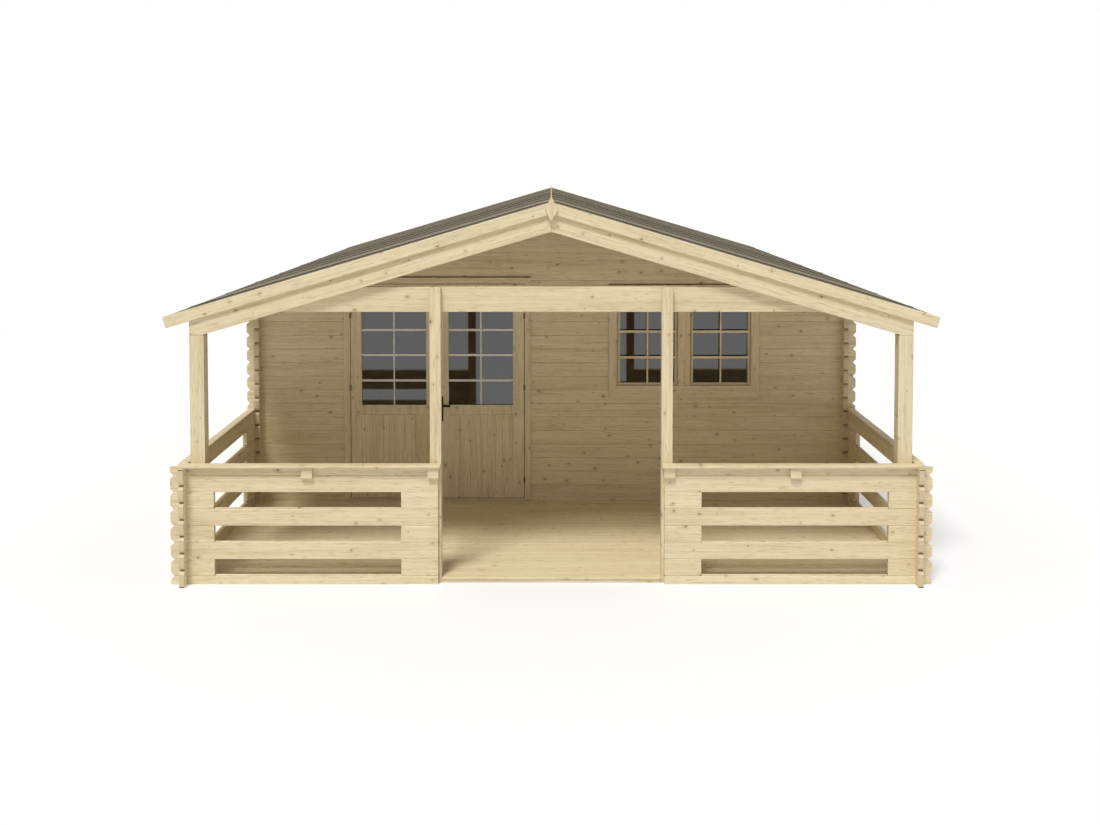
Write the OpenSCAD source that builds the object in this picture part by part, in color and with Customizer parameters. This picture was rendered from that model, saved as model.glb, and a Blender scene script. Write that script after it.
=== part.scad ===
// Log garden house with an open veranda under one gable roof.
// The front faces -Y, the ground is z = 0, and the origin is under the middle of the footprint.
// All sizes are in millimetres.

/* [Logs] */
// Height of one log course
log_h = 121; // [100:1:140]
// Thickness of the cabin's wall logs
log_t = 44; // [36:1:60]
// Depth of the V groove along each joint between logs
groove = 4; // [2:1:8]
// Length of a crossed log end past the wall it crosses
log_end = 80; // [50:1:120]
// Chamfer on the corners of a log end
end_chamfer = 25; // [6:1:30]

/* [Cabin] */
// Width over the outer faces of the side walls
cabin_w = 5212; // [4800:1:6000]
// Depth from the front wall's face to the back wall's face
cabin_d = 5848; // [3600:1:7200]
// Number of log courses in a side wall, at least
wall_courses = 16; // [16:1:18]
// Log courses from the top of the side walls to the joint under the front gable
gable_courses = 1.5; // [0.5:1:2.5]
// Height of the settling gap over a casing
settle_h = 11; // [6:1:20]
// Depth of the settling gap over a casing
settle_d = 24; // [10:1:30]
// Thickness of the floor boards
floor_t = 24; // [18:1:32]
// Thickness of the battens under the floor
batten_t = 14; // [10:1:40]
// Width of a floor batten
batten_w = 60; // [40:1:90]
// Battens under each floor
batten_count = 5; // [3:1:7]

/* [Veranda] */
// Depth from the front rail's face to the front wall's face
veranda_d = 2102; // [1700:1:2800]
// Thickness of the rail logs
rail_t = 36; // [26:1:44]
// Log courses in a rail
rail_courses = 7; // [5:2:7]
// Clear width between the two front rails
entrance_w = 1620; // [1400:1:1800]
// Distance from a front rail's inner end to its slots
slot_inset = 263; // [150:1:400]
// Distance from the front rail slots to the side rail
slot_margin = 196; // [120:1:400]
// Distance from the front rail's face to the side rail slots
side_slot_start = 300; // [200:1:400]
// Distance from the side rail slots to the front wall
side_slot_margin = 349; // [150:1:500]
// Thickness of the rail caps
cap_t = 20; // [14:1:30]
// Reach of the front caps in front of the rail
cap_reach = 46; // [40:1:90]
// Width of the side caps
side_cap_w = 64; // [50:1:90]
// Width of a bracket under a front cap
bracket_w = 80; // [50:1:100]
// Height of a bracket under a front cap
bracket_h = 76; // [50:1:110]
// Depth of a bracket under a front cap
bracket_d = 31; // [24:1:38]
// Spacing of the two brackets under one cap
bracket_gap = 899; // [700:1:1000]
// Distance from a front cap's inner end to the middle of its first bracket
bracket_inset = 53; // [50:1:100]
// How far the floor's front edge stands past the posts at the entrance
floor_lip = 8; // [2:1:20]

/* [Posts and beams] */
// Width of a middle post, square
post_w = 80; // [60:1:100]
// Width of a corner post, square
corner_w = 105; // [90:1:130]
// Gap between a corner post and the side rail
corner_gap = 22; // [10:1:40]
// How far a middle post stands past the rail's inner end
post_lap = 21; // [5:1:40]
// Thickness of the tie beam and rafters
beam_t = 44; // [36:1:60]
// Height of the tie beam
beam_h = 180; // [120:1:220]
// Underside of the tie beam above the top of the side walls
beam_rise = 13; // [-20:1:40]
// Depth of a front rafter, square to the slope
rafter_h = 174; // [140:1:190]
// Length of the level seat at a rafter's foot
seat_l = 85; // [60:1:100]
// Width of a purlin
purlin_w = 60; // [44:1:90]
// Height of a purlin
purlin_h = 125; // [100:1:180]
// Place of the side purlins between the ridge and the side wall
purlin_share = 0.5; // [0.42:0.01:0.58]

/* [Roof] */
// Slope of the roof in degrees
roof_pitch = 16.46; // [15:0.01:18]
// Reach of the eaves past the side wall
eave_reach = 154; // [150:1:220]
// Reach of the roof past the back wall
back_reach = 250; // [120:1:400]
// Thickness of the roof boards, measured upright
roof_board_t = 16; // [14:1:28]
// Thickness of the roofing felt, measured upright
felt_t = 4; // [3:1:8]
// Thickness of a barge board
barge_t = 22; // [18:1:30]
// Width of a barge board, measured upright
barge_w = 86; // [70:1:120]
// How far the barge boards stand above the felt
barge_rise = 11; // [2:1:15]
// Width of the ridge finial
finial_w = 90; // [60:1:120]
// Height of the ridge finial
finial_h = 257; // [200:1:300]
// Height of the finial's shoulders above its lower point
finial_shoulder = 83; // [60:1:110]
// Thickness of the ridge finial
finial_t = 20; // [15:1:28]

/* [Door] */
// Middle of the doorway, from the middle of the house
door_x = -1003; // [-1100:1:-900]
// Width of one door leaf
leaf_w = 760; // [650:1:800]
// Height of a door leaf
leaf_h = 1895; // [1800:1:1895]
// Thickness of a door leaf
leaf_t = 44; // [36:1:50]
// Gap round each leaf
leaf_gap = 5; // [5:1:8]
// Gap between a leaf's foot and the sill log
leaf_lift = 8; // [6:1:12]
// Width of a leaf's stiles
stile_w = 96; // [80:1:120]
// Height of the glass above a leaf's foot
glass_z = 827; // [600:1:900]
// Height of the rail over the glass
top_rail_h = 186; // [120:1:260]
// Height of the rail under the glass
mid_rail_h = 85; // [60:1:120]
// Depth of the recessed board panel
panel_recess = 6; // [3:1:10]
// Thickness of the panes
pane_t = 6; // [4:1:10]
// Thickness of the door frame
frame_t = 26; // [20:1:32]
// Width of the door casing
casing_w = 54; // [40:1:70]
// Thickness of the door and window casings
casing_t = 20; // [15:1:28]
// Radius of a hinge barrel
barrel_r = 8; // [7:0.5:10]
// Length of a hinge barrel
barrel_l = 46; // [40:1:80]
// Radius of a hinge pin
pin_r = 4; // [3:0.5:5]
// Reach of a hinge flap into the gap beside a leaf
flap_w = 22; // [14:1:30]
// Thickness of a hinge flap
flap_t = 1.6; // [1:0.1:2]
// Thickness of the handle's plates
plate_t = 3; // [2:0.5:4]
// Width of the handle's back plate
handle_w = 36; // [30:1:44]
// Height of the handle's back plate
handle_h = 222; // [160:1:240]
// Height of the lever above the leaf's foot
lever_z = 825; // [700:1:900]
// Reach of the lever from its spindle
lever_l = 74; // [60:1:120]
// Thickness of the lever
lever_t = 16; // [12:1:20]
// Standoff of the lever from its plate
lever_out = 42; // [30:1:55]
// Radius of the lever's spindle
spindle_r = 8; // [6:0.5:10]

/* [Window] */
// Middle of the window, from the middle of the house
window_x = 1168; // [1100:1:1250]
// Top of the window glass below the top of the door glass
window_drop = 0.5; // [0:0.5:60]
// Width of one pane of glass
window_glass_w = 482; // [400:1:520]
// Height of the glass
window_glass_h = 683; // [500:1:690]
// Width of the sash members
sash_w = 28; // [24:1:40]
// Thickness of the sashes
sash_t = 30; // [24:1:36]
// Width of the mullion between the sashes
mullion_w = 104; // [80:1:120]
// Thickness of the window lining
lining_t = 15; // [12:1:25]
// Width of the window casing at the sides
window_casing_w = 73; // [55:1:100]
// Height of the window casing at the foot
window_casing_foot = 110; // [80:1:121]
// Height of the window casing at the head
window_casing_head = 153; // [60:1:170]
// How far the casings cover the sashes
casing_cover = 2; // [1:1:16]

/* [Hidden] */
$fn = 48;
slope = tan(roof_pitch);
wall_x = cabin_w / 2;
sill_top = log_h / 2;
leaf_z = sill_top + leaf_lift;
leaf_top = leaf_z + leaf_h;
glass_h = leaf_h - glass_z - top_rail_h;
frame_top = leaf_top + leaf_gap + frame_t;
courses = max(wall_courses, ceil(frame_top / log_h) - 1);
wall_top = courses * log_h;
gable_z = wall_top + gable_courses * log_h;
beam_z = wall_top + beam_rise;
window_z = leaf_z + glass_z + glass_h - window_drop - window_glass_h;
ridge_z = wall_top + slope * wall_x;
roof_t = roof_board_t + felt_t;
eave_x = wall_x + eave_reach;
purlin_x = purlin_share * wall_x;
front_y = veranda_d;
room_y = front_y + log_t;
back_y = front_y + cabin_d;
roof_front = rail_t;
roof_back = back_y + back_reach;
barge_x = eave_x + 2 * felt_t;
y_mid = (roof_back + barge_t - log_end) / 2;
rail_x = wall_x + rail_t;
rail_top = rail_courses * log_h;
post_x = entrance_w / 2 - post_lap;
corner_x = wall_x - corner_gap;
rafter_back = roof_front + beam_t;
rafter_drop = rafter_h / cos(roof_pitch);
seat_z = ridge_z - rafter_drop - slope * (corner_x - seat_l);
door_half = leaf_w + leaf_gap / 2;
frame_half = door_half + leaf_gap + frame_t;
leaf_y = front_y - casing_t;
hinge_x = door_half + leaf_gap / 2;
hinge_y = leaf_y - barrel_r;
hinge_heights = [0.0865, 0.5187, 0.8533] * leaf_h;
handle_x = leaf_gap / 2 + handle_w / 2 + 12;
sash_gap = 1;
joint_gap = 0.6;
seat_gap = 0.3;
light_x = (mullion_w + 2 * sash_gap + 2 * sash_w + window_glass_w) / 2;
sash_outer_w = window_glass_w + 2 * sash_w;
sash_outer_h = window_glass_h + 2 * sash_w;
lining_half = light_x + sash_outer_w / 2 + sash_gap;
lining_z = window_z - sash_w - sash_gap;
lining_top = window_z + window_glass_h + sash_w + sash_gap;
sash_y = front_y + 2;
far = 10000;
wood = "burlywood";

// Underside of the roof boards at a distance x from the ridge
function roof_z(x) = ridge_z - slope * abs(x);

// Heights of the joints between full logs and between logs that start with a half log
function full_joints(courses) = [for (k = [1:courses - 1]) k * log_h];
function half_joints(z0, z1) = [for (k = [0:courses + 8]) if ((k + 0.5) * log_h > z0 + groove
    && (k + 0.5) * log_h < z1 - groove) (k + 0.5) * log_h];

// Section of a stack of logs, with a V groove on both faces at each joint
function log_section(t, joints, z0, z1, z2) = concat(
    [[0, z0]],
    [for (z = joints) each [[0, z - groove], [groove, z], [0, z + groove]]],
    [[0, z1], [t, z2]],
    [for (i = [len(joints) - 1:-1:0])
        each [[t, joints[i] + groove], [t - groove, joints[i]], [t, joints[i] - groove]]],
    [[t, z0]]);

// Moves the front rail's face to its place, with the footprint centred on the origin
module placed() {
    translate([0, -y_mid, 0]) children();
}

module mirrored(side) {
    if (side < 0) mirror([1, 0, 0]) children();
    else children();
}

// A stack of logs along X from x0 to x1, front face at y
module logs_along_x(t, joints, x0, x1, y, z0, z1) {
    translate([x0, y, 0]) rotate([90, 0, 90]) linear_extrude(x1 - x0)
        polygon(log_section(t, joints, z0, z1, z1));
}

// A stack of logs along Y from y0 to y1, with one face at x and a top that may slope
module logs_along_y(t, joints, x, y0, y1, z1, z2) {
    translate([x, y1, 0]) rotate([90, 0, 0]) linear_extrude(y1 - y0)
        polygon(log_section(t, joints, 0, z1, z2));
}

// What the necks of logs on full courses take up where two walls cross
module full_necks(courses, sx, sy) {
    for (k = [0:courses - 1]) translate([0, 0, (k + 0.25) * log_h]) cube([sx, sy, log_h / 2]);
}

// What the necks of logs on half courses take up where two walls cross
module half_necks(courses, sx, sy) {
    for (k = [0:courses]) translate([0, 0, (k - 0.25) * log_h]) cube([sx, sy, log_h / 2]);
}

module diamond() {
    polygon([[-end_chamfer, 0], [0, -end_chamfer], [end_chamfer, 0], [0, end_chamfer]]);
}

// Chamfers of the log ends at y, on logs of thickness t from x
module chamfers_along_y(t, joints, x, y) {
    for (z = joints) translate([x - 1, y, z]) rotate([90, 0, 90]) linear_extrude(t + 2) diamond();
}

// Chamfers of the log ends at x, on logs of thickness t from y
module chamfers_along_x(t, joints, x, y) {
    for (z = joints) translate([x, y + t + 1, z]) rotate([90, 0, 0]) linear_extrude(t + 2) diamond();
}

// Everything under the roof boards
module under_roof() {
    translate([0, roof_back + far, 0]) rotate([90, 0, 0]) linear_extrude(roof_back + 2 * far)
        polygon([[-far / 2, -1], [far / 2, -1], [far / 2, roof_z(far / 2)], [0, ridge_z],
            [-far / 2, roof_z(far / 2)]]);
}

// A strip of the given upright depth below the line drop under the roof, from x0 to x1 on the right slope
module slope_strip(drop, depth, x0, x1) {
    polygon([[x0, roof_z(x0) - drop], [x1, roof_z(x1) - drop],
        [x1, roof_z(x1) - drop - depth], [x0, roof_z(x0) - drop - depth]]);
}

module upright(y0, y1) {
    translate([0, y1, 0]) rotate([90, 0, 0]) linear_extrude(y1 - y0) children();
}

// Walls

module side_wall(side) {
    joints = full_joints(courses);
    color(wood) placed() mirrored(side) difference() {
        translate([wall_x, 0, 0]) mirror([1, 0, 0])
            logs_along_y(log_t, joints, 0, front_y - log_end, back_y + log_end, wall_top - seat_gap,
                wall_top + slope * log_t - seat_gap);
        for (y = [front_y, back_y - log_t])
            translate([wall_x - log_t - 1, y, 0]) half_necks(courses, log_t + 2, log_t);
        for (y = [front_y - log_end, back_y + log_end])
            chamfers_along_y(log_t, joints, wall_x - log_t, y);
    }
}
module left_side_wall() { side_wall(-1); }
module right_side_wall() { side_wall(1); }

// One stretch of a cross wall: logs from x0 to x1, cut to the roof and locked into the side walls
module cross_wall(y, x0, x1, z0, z1) {
    joints = half_joints(z0, z1);
    difference() {
        intersection() {
            logs_along_x(log_t, joints, x0, x1, y, z0, z1);
            under_roof();
        }
        for (side = [-1, 1]) mirrored(side) {
            translate([wall_x - log_t, y - 1, 0]) full_necks(courses, log_t, log_t + 2);
            chamfers_along_x(log_t, joints, wall_x + log_end, y);
        }
    }
}

module back_wall() {
    color(wood) placed() difference() {
        cross_wall(back_y - log_t, -wall_x - log_end, wall_x + log_end, 0, ridge_z);
        purlin_bars(back_y - log_t - 1, back_y + 1);
    }
}

module front_sill_log() {
    color(wood) placed() cross_wall(front_y, -wall_x - log_end, wall_x + log_end, 0, sill_top);
}

// Gaps over the casings, where the logs can settle, and the doorway itself
module front_openings() {
    head = leaf_top + leaf_gap + casing_w;
    half = door_half + leaf_gap + casing_w;
    window_half = lining_half - casing_cover + window_casing_w;
    translate([door_x - half, front_y - 1, head]) cube([2 * half, settle_d + 1, settle_h]);
    translate([window_x - window_half, front_y - 1, lining_top - casing_cover + window_casing_head])
        cube([2 * window_half, settle_d + 1, settle_h]);
    translate([door_x - frame_half, front_y - 1, 0]) cube([2 * frame_half, log_t + 2, frame_top]);
}

module front_wall_left() {
    color(wood) placed() difference() {
        cross_wall(front_y, -wall_x - log_end, door_x - frame_half, sill_top, gable_z);
        front_openings();
    }
}

module front_wall_right() {
    color(wood) placed() difference() {
        cross_wall(front_y, door_x + frame_half, wall_x + log_end, sill_top, gable_z);
        translate([window_x - lining_half - lining_t, front_y - 1, lining_z - lining_t])
            cube([2 * (lining_half + lining_t), log_t + 2, lining_top - lining_z + 2 * lining_t]);
        front_openings();
    }
}

// A door lower than the gable's joint gets a lintel, and a taller one reaches into the gable
module front_gable() {
    color(wood) placed() difference() {
        union() {
            cross_wall(front_y, -wall_x, wall_x, gable_z, ridge_z);
            if (frame_top < gable_z)
                cross_wall(front_y, door_x - frame_half, door_x + frame_half, frame_top, gable_z);
        }
        purlin_bars(front_y - 1, front_y + log_t + 1);
        front_openings();
    }
}

// Floors

module cabin_floor() {
    color("tan") placed() translate([log_t - wall_x, room_y, batten_t])
        cube([cabin_w - 2 * log_t, cabin_d - 2 * log_t, floor_t]);
}

module veranda_floor() {
    color("tan") placed() translate([0, 0, batten_t]) linear_extrude(floor_t) difference() {
        union() {
            translate([-wall_x, rail_t]) square([cabin_w, front_y - rail_t]);
            translate([-post_x, rail_t - floor_lip]) square([2 * post_x, 2 * floor_lip]);
        }
        for (side = [-1, 1]) mirrored(side) {
            translate([wall_x - log_t, front_y - log_end]) square([log_t, log_end]);
            translate([corner_x - corner_w, rail_t]) square(corner_w);
            translate([post_x, rail_t]) square(post_w);
        }
    }
}

module floor_battens() {
    pitch = (cabin_w - 2 * log_t) / batten_count;
    middle = (batten_count - 1) / 2;
    color("tan") placed() for (i = [0:batten_count - 1]) translate([pitch * (i - middle), 0, 0]) {
        translate([-batten_w / 2, 2 * rail_t, 0]) cube([batten_w, front_y - 4 * rail_t, batten_t]);
        translate([-batten_w / 2, room_y, 0]) cube([batten_w, cabin_d - 2 * log_t, batten_t]);
    }
}

// Veranda rails: every second log is short, which leaves three open slots

module front_rail(side) {
    joints = half_joints(0, rail_top);
    x0 = entrance_w / 2;
    x1 = wall_x + rail_t + log_end;
    color(wood) placed() mirrored(side) difference() {
        logs_along_x(rail_t, joints, x0, x1, 0, 0, rail_top);
        for (k = [1:2:rail_courses - 2]) translate([x0 + slot_inset, -1, (k - 0.5) * log_h])
            cube([wall_x - slot_margin - x0 - slot_inset, rail_t + 2, log_h]);
        translate([wall_x, -1, 0]) full_necks(rail_courses, rail_t, rail_t + 2);
        chamfers_along_x(rail_t, joints, x1, 0);
    }
}
module front_rail_left() { front_rail(-1); }
module front_rail_right() { front_rail(1); }

module side_rail(side) {
    joints = full_joints(rail_courses);
    color(wood) placed() mirrored(side) difference() {
        logs_along_y(rail_t, joints, wall_x, -log_end, front_y, rail_top, rail_top);
        for (k = [1:2:rail_courses - 2]) translate([wall_x - 1, side_slot_start, k * log_h])
            cube([rail_t + 2, front_y - side_slot_margin - side_slot_start, log_h]);
        translate([wall_x - 1, 0, 0]) half_necks(rail_courses, rail_t + 2, rail_t);
        chamfers_along_y(rail_t, joints, wall_x, -log_end);
    }
}
module side_rail_left() { side_rail(-1); }
module side_rail_right() { side_rail(1); }

module rail_caps() {
    color("wheat") placed() for (side = [-1, 1]) mirrored(side) translate([0, 0, rail_top]) {
        translate([post_x, -cap_reach, 0])
            cube([rail_x - post_x + side_cap_w / 3, cap_reach + rail_t - joint_gap, cap_t]);
        translate([wall_x, rail_t, 0]) cube([side_cap_w, front_y - rail_t, cap_t]);
    }
}

module rail_brackets() {
    first = post_x + bracket_inset - bracket_w / 2;
    color("wheat") placed() for (side = [-1, 1], i = [0:1]) mirrored(side)
        translate([first + i * bracket_gap, -bracket_d, rail_top - bracket_h])
            cube([bracket_w, bracket_d, bracket_h]);
}

// Posts, beams and rafters

module corner_posts() {
    color("wheat") placed() for (side = [-1, 1]) mirrored(side)
        translate([corner_x - corner_w, rail_t, 0]) cube([corner_w, corner_w, seat_z]);
}

module middle_posts() {
    color("wheat") placed() for (side = [-1, 1]) mirrored(side) difference() {
        translate([post_x, rail_t, 0]) cube([post_w, post_w, beam_z + beam_h]);
        translate([post_x - 1, rafter_back, beam_z]) cube([post_w + 2, post_w, beam_h + 1]);
    }
}

module tie_beam() {
    color("wheat") placed() intersection() {
        translate([beam_t - corner_x, rafter_back, beam_z]) cube([2 * (corner_x - beam_t), beam_t, beam_h]);
        under_roof();
    }
}

module front_rafter(side) {
    color("wheat") placed() mirrored(side) upright(roof_front, rafter_back) difference() {
        slope_strip(seat_gap, rafter_drop - seat_gap, 0, corner_x);
        translate([corner_x - seat_l, 0]) square([far, seat_z]);
    }
}
module front_rafter_left() { front_rafter(-1); }
module front_rafter_right() { front_rafter(1); }

module eave_beams() {
    x0 = corner_x - beam_t;
    color("wheat") placed() for (side = [-1, 1]) mirrored(side) upright(rafter_back, front_y - log_end)
        polygon([[x0, seat_z], [corner_x, seat_z], [corner_x, roof_z(corner_x) - seat_gap],
            [x0, roof_z(x0) - seat_gap]]);
}

module purlin_bars(y0, y1) {
    intersection() {
        for (x = [-purlin_x, 0, purlin_x])
            translate([x - purlin_w / 2, y0, roof_z(x) - purlin_h]) cube([purlin_w, y1 - y0, far]);
        under_roof();
    }
}

module purlins() {
    color("wheat") placed() purlin_bars(rafter_back, roof_back);
}

// Roof

module roof_boards(side) {
    color("tan") placed() mirrored(side) upright(roof_front, roof_back)
        slope_strip(-roof_board_t, roof_board_t, 0, eave_x);
}
module roof_boards_left() { roof_boards(-1); }
module roof_boards_right() { roof_boards(1); }

module roof_felt(side) {
    color("dimgray") placed() mirrored(side) upright(roof_front, roof_back)
        slope_strip(-roof_t, felt_t, 0, eave_x + felt_t);
}
module roof_felt_left() { roof_felt(-1); }
module roof_felt_right() { roof_felt(1); }

module barge_boards(y) {
    color("wheat") placed() for (side = [-1, 1]) mirrored(side) upright(y, y + barge_t)
        slope_strip(-roof_t - barge_rise, barge_w, joint_gap / 2, barge_x);
}
module front_barge_boards() { barge_boards(roof_front - barge_t); }
module back_barge_boards() { barge_boards(roof_back); }

module ridge_finial() {
    foot = ridge_z + roof_t + barge_rise - barge_w * 1.6;
    edge = [[finial_w / 2, finial_shoulder], [finial_w / 4, 1.55 * finial_shoulder],
        [finial_w / 6, 1.8 * finial_shoulder], [finial_w / 18, 2.07 * finial_shoulder],
        [finial_w / 36, finial_h]];
    back = [for (i = [len(edge) - 1:-1:0]) [-edge[i][0], edge[i][1]]];
    color("wheat") placed() upright(roof_front - barge_t - finial_t, roof_front - barge_t)
        translate([0, foot]) polygon(concat([[0, 0]], edge, back));
}

// Double door: both leaves swing outwards on barrel hinges at the casing's face

module door_surround(half, top, t, y, d) {
    translate([door_x, y, 0]) difference() {
        translate([-half - t, 0, sill_top]) cube([2 * (half + t), d, top + t - sill_top]);
        translate([-half, -1, sill_top - 1]) cube([2 * half, d + 2, top - sill_top + 1]);
    }
}

module door_frame() {
    color(wood) placed() door_surround(door_half + leaf_gap, leaf_top + leaf_gap, frame_t, front_y, log_t);
}

module door_casing() {
    color(wood) placed() door_surround(door_half + leaf_gap, leaf_top + leaf_gap, casing_w, leaf_y, casing_t);
}

module at_hinges(side) {
    for (z = hinge_heights) translate([door_x, 0, 0]) mirrored(side)
        translate([hinge_x, hinge_y, leaf_z + z]) children();
}

// Lower knuckle with its pin, and a flap along the casing's edge
module frame_hinges() {
    color("dimgray") placed() for (side = [-1, 1]) at_hinges(side) {
        translate([0, 0, -barrel_l / 2]) cylinder(h = barrel_l / 2 - 0.5, r = barrel_r);
        translate([0, 0, -1]) cylinder(h = barrel_l / 2 - 4, r = pin_r);
        translate([leaf_gap / 2 - flap_t, 0, -barrel_l / 2])
            cube([flap_t, barrel_r + flap_w, barrel_l / 2 - 0.5]);
    }
}

// Upper knuckle with its bore, and a flap along the leaf's edge
module leaf_hinges(side) {
    color("dimgray") placed() at_hinges(side) difference() {
        union() {
            translate([0, 0, 0.5]) cylinder(h = barrel_l / 2 - 0.5, r = barrel_r);
            translate([-leaf_gap / 2, 0, 0.5]) cube([flap_t, barrel_r + flap_w, barrel_l / 2 - 0.5]);
        }
        translate([0, 0, -1]) cylinder(h = barrel_l / 2 - 2, r = pin_r + 0.05);
    }
}
module left_leaf_hinges() { leaf_hinges(-1); }
module right_leaf_hinges() { leaf_hinges(1); }

module on_leaf(side) {
    translate([door_x, leaf_y, leaf_z]) mirrored(side) translate([leaf_gap / 2, 0, 0]) children();
}

module spindle_hole() {
    translate([handle_x - leaf_gap / 2, -far / 2, lever_z]) rotate([-90, 0, 0])
        cylinder(h = far, r = spindle_r + 0.3);
}

module door_leaf() {
    panel_w = leaf_w - 2 * stile_w;
    difference() {
        cube([leaf_w, leaf_t, leaf_h]);
        translate([stile_w, -1, glass_z]) cube([panel_w, leaf_t + 2, glass_h]);
        for (y = [-1, leaf_t - panel_recess])
            translate([stile_w, y, -1]) cube([panel_w, panel_recess + 1, glass_z - mid_rail_h + 1]);
    }
}

module door_glass() {
    translate([stile_w, (leaf_t - pane_t) / 2, glass_z]) cube([leaf_w - 2 * stile_w, pane_t, glass_h]);
}

module left_door_leaf() { color("tan") placed() on_leaf(-1) door_leaf(); }
module left_door_glass() { color("slategray", 0.5) placed() on_leaf(-1) door_glass(); }
module right_door_leaf() {
    color("tan") placed() on_leaf(1) difference() {
        door_leaf();
        spindle_hole();
    }
}
module right_door_glass() { color("slategray", 0.5) placed() on_leaf(1) door_glass(); }

module handle_plates() {
    color("black") placed() on_leaf(1) difference() {
        for (y = [-plate_t, leaf_t])
            translate([handle_x - leaf_gap / 2 - handle_w / 2, y, lever_z - handle_h * 0.64])
                cube([handle_w, plate_t, handle_h]);
        spindle_hole();
    }
}

// Lever arms outside and inside on one spindle
module door_lever() {
    reach = plate_t + lever_out;
    color("black") placed() on_leaf(1) translate([handle_x - leaf_gap / 2, 0, lever_z]) {
        translate([0, -reach, 0]) rotate([-90, 0, 0]) cylinder(h = leaf_t + 2 * reach, r = spindle_r);
        for (y = [-reach, leaf_t + reach - lever_t]) {
            translate([0, y, -lever_t / 2]) cube([lever_l, lever_t, lever_t]);
            translate([lever_l, y, 0]) rotate([-90, 0, 0]) cylinder(h = lever_t, r = lever_t / 2);
        }
    }
}

// Window: two fixed lights behind one casing

module at_lights() {
    for (side = [-1, 1]) translate([window_x + side * light_x, 0, window_z]) children();
}

module window_frame() {
    color(wood) placed() difference() {
        translate([window_x - lining_half - lining_t, front_y, lining_z - lining_t])
            cube([2 * (lining_half + lining_t), log_t, lining_top - lining_z + 2 * lining_t]);
        at_lights() translate([-sash_outer_w / 2 - sash_gap, front_y - 1, -sash_w - sash_gap])
            cube([sash_outer_w + 2 * sash_gap, log_t + 2, sash_outer_h + 2 * sash_gap]);
    }
}

module window_sashes() {
    color("tan") placed() at_lights() difference() {
        translate([-sash_outer_w / 2, sash_y, -sash_w - sash_gap]) cube([sash_outer_w, sash_t, sash_outer_h]);
        translate([-window_glass_w / 2, sash_y - 1, -sash_gap])
            cube([window_glass_w, sash_t + 2, window_glass_h]);
    }
}

module window_glass() {
    color("slategray", 0.5) placed() at_lights()
        translate([-window_glass_w / 2, sash_y + (sash_t - pane_t) / 2, -sash_gap])
            cube([window_glass_w, pane_t, window_glass_h]);
}

module window_casing() {
    cover = casing_cover;
    inner = lining_half - cover;
    color(wood) placed() difference() {
        translate([window_x - inner - window_casing_w, leaf_y, lining_z + cover - window_casing_foot])
            cube([2 * (inner + window_casing_w), casing_t,
                lining_top - lining_z - 2 * cover + window_casing_foot + window_casing_head]);
        at_lights() translate([cover - sash_outer_w / 2, leaf_y - 1, cover - sash_w])
            cube([sash_outer_w - 2 * cover, casing_t + 2, sash_outer_h - 2 * cover]);
    }
}

left_side_wall();
right_side_wall();
back_wall();
front_sill_log();
front_wall_left();
front_wall_right();
front_gable();
cabin_floor();
veranda_floor();
floor_battens();
front_rail_left();
front_rail_right();
side_rail_left();
side_rail_right();
rail_caps();
rail_brackets();
corner_posts();
middle_posts();
tie_beam();
front_rafter_left();
front_rafter_right();
eave_beams();
purlins();
roof_boards_left();
roof_boards_right();
roof_felt_left();
roof_felt_right();
front_barge_boards();
back_barge_boards();
ridge_finial();
door_frame();
door_casing();
frame_hinges();
left_door_leaf();
left_door_glass();
left_leaf_hinges();
right_door_leaf();
right_door_glass();
right_leaf_hinges();
handle_plates();
door_lever();
window_frame();
window_sashes();
window_glass();
window_casing();
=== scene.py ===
# %% [markdown]
# A log garden house with a veranda
#
# The solids of the house come in as a fixed frame: every wall, post and leaf is already at its real size
# and place. The house could be modelled afresh here, but then nothing would be sure to fit. So this lesson
# gives the solids their finish, adds the thin things that they leave out, such as glazing bars, boards and
# roofing strips, and lights the whole like a catalogue picture.

import bmesh
import bpy
import numpy as np
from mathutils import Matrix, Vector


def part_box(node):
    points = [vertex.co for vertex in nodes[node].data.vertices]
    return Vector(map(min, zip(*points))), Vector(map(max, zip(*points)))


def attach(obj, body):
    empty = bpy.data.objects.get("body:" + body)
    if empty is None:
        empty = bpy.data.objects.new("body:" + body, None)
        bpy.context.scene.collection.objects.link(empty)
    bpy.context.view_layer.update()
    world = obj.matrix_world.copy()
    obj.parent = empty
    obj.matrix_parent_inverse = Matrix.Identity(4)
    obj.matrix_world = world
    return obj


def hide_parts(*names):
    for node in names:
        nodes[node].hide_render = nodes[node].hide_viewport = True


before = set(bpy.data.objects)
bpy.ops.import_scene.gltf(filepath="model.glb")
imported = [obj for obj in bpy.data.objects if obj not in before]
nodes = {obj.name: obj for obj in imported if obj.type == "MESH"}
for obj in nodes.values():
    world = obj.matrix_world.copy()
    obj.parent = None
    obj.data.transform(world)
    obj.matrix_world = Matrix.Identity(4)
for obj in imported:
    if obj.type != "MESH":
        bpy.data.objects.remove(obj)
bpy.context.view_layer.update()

# %% [markdown]
# Helpers for nodes
#
# A finish is a network of nodes that is worked out at each point of a surface. It could be drawn by hand in
# the shader editor, but a script can be read, repeated and changed. Each helper adds a node, connects what
# it is given, and hands back the socket that holds the result.

# %% Node helpers
def add(tree, kind, links=None, **settings):
    """Adds a node, sets its properties, and fills its inputs from values or other sockets."""
    node = tree.nodes.new(kind)
    for key, value in settings.items():
        setattr(node, key, value)
    for key, value in (links or {}).items():
        if isinstance(value, bpy.types.NodeSocket):
            tree.links.new(value, node.inputs[key])
        else:
            node.inputs[key].default_value = value
    return node


def calc(tree, operation, a, b=0.0, clamp=False):
    """One Math node: the operation on a and b, held between 0 and 1 if clamped."""
    return add(tree, "ShaderNodeMath", {0: a, 1: b}, operation=operation, use_clamp=clamp).outputs[0]


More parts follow.
